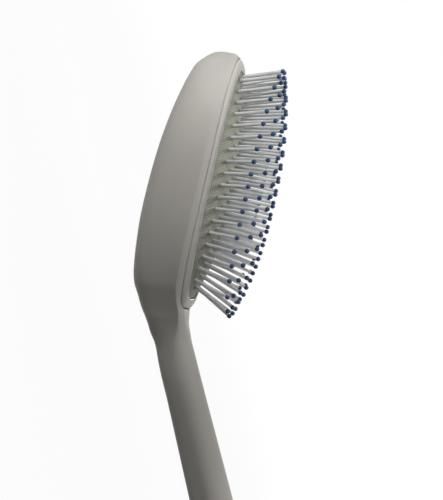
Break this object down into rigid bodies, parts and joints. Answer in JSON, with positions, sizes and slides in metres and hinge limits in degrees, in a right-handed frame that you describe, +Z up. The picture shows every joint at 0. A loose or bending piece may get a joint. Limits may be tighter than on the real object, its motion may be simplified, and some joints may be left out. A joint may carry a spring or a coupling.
{
  "type": "long-handled styling brush",
  "caption": "Long-handled styling brush: deep oval head with an air cushion of ball-tipped pins that gives when pressed, on a long bent handle.",
  "frame": {"origin": "middle of the base of the whole brush, on the surface that it lies on", "axes": "+Z up with the brush lying on its heel and the end of its handle, pins up; +X along the handle away from the head; Y across the head, which is the same on both sides"},
  "size_m": [0.3466, 0.0592, 0.0881],
  "materials": {
    "shell": "satin",
    "frame": "satin",
    "tray": "matte",
    "cushion": "matte"
  },
  "bodies": {
    "brush": {"body_shell": "shell", "cushion_frame": "frame", "cushion_tray": "tray", "cushion_rim": "cushion"},
    "cushion": {"pin_column_1": "cushion", "pin_column_2": "cushion", "pin_column_3": "cushion", "pin_column_4": "cushion", "pin_column_5": "cushion", "pin_column_6": "cushion", "pin_column_7": "cushion"}
  },
  "joints": [
    {"name": "cushion_press", "type": "slide", "parent": "brush", "child": "cushion", "axis": [0.4461, 0, 0.895], "range_m": [-0.003, 0], "stiffness_N_per_m": 3000}
  ]
}
